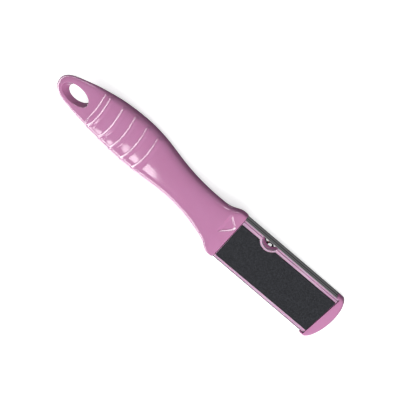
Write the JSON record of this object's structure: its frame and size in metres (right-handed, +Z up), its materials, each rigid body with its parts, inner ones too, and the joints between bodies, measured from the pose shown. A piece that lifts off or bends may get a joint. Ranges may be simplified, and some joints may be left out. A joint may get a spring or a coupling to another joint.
{
  "type": "foot file",
  "caption": "Two-sided foot file: bowed ribbed handle with a hanging eyelet, head with a lift-out emery pad on one face and a perforated steel rasp over a shavings chamber on the other.",
  "frame": {"origin": "on the floor, below the middle of the bounding box, with the file lying emery side up on its grip and the front edge of the rasp", "axes": "+X from the eyelet end to the nose, +Y to the side with the thumb notch, +Z up; the emery face leans 5.98 degrees nose-down as the file lies"},
  "size_m": [0.2604, 0.0445, 0.0229],
  "materials": {
    "pink_plastic": "glossy moulded plastic, slightly uneven gloss, fine parting line",
    "steel": "bright rolled stainless sheet with punched rasp holes",
    "emery": "matt charcoal abrasive grain on a paper backing",
    "adhesive": "thin milky pressure-sensitive glue film"
  },
  "bodies": {
    "handle": {"handle_front_shell": "pink_plastic", "handle_rear_shell": "pink_plastic", "rasp_channel": "steel"},
    "carrier": {"pad_carrier": "pink_plastic", "adhesive_film": "adhesive", "emery_sheet": "emery"}
  },
  "joints": [
    {"name": "carrier_lift", "type": "slide", "parent": "handle", "child": "carrier", "axis": [0.1041, 0, 0.9946], "range_m": [0, 0.02]}
  ]
}
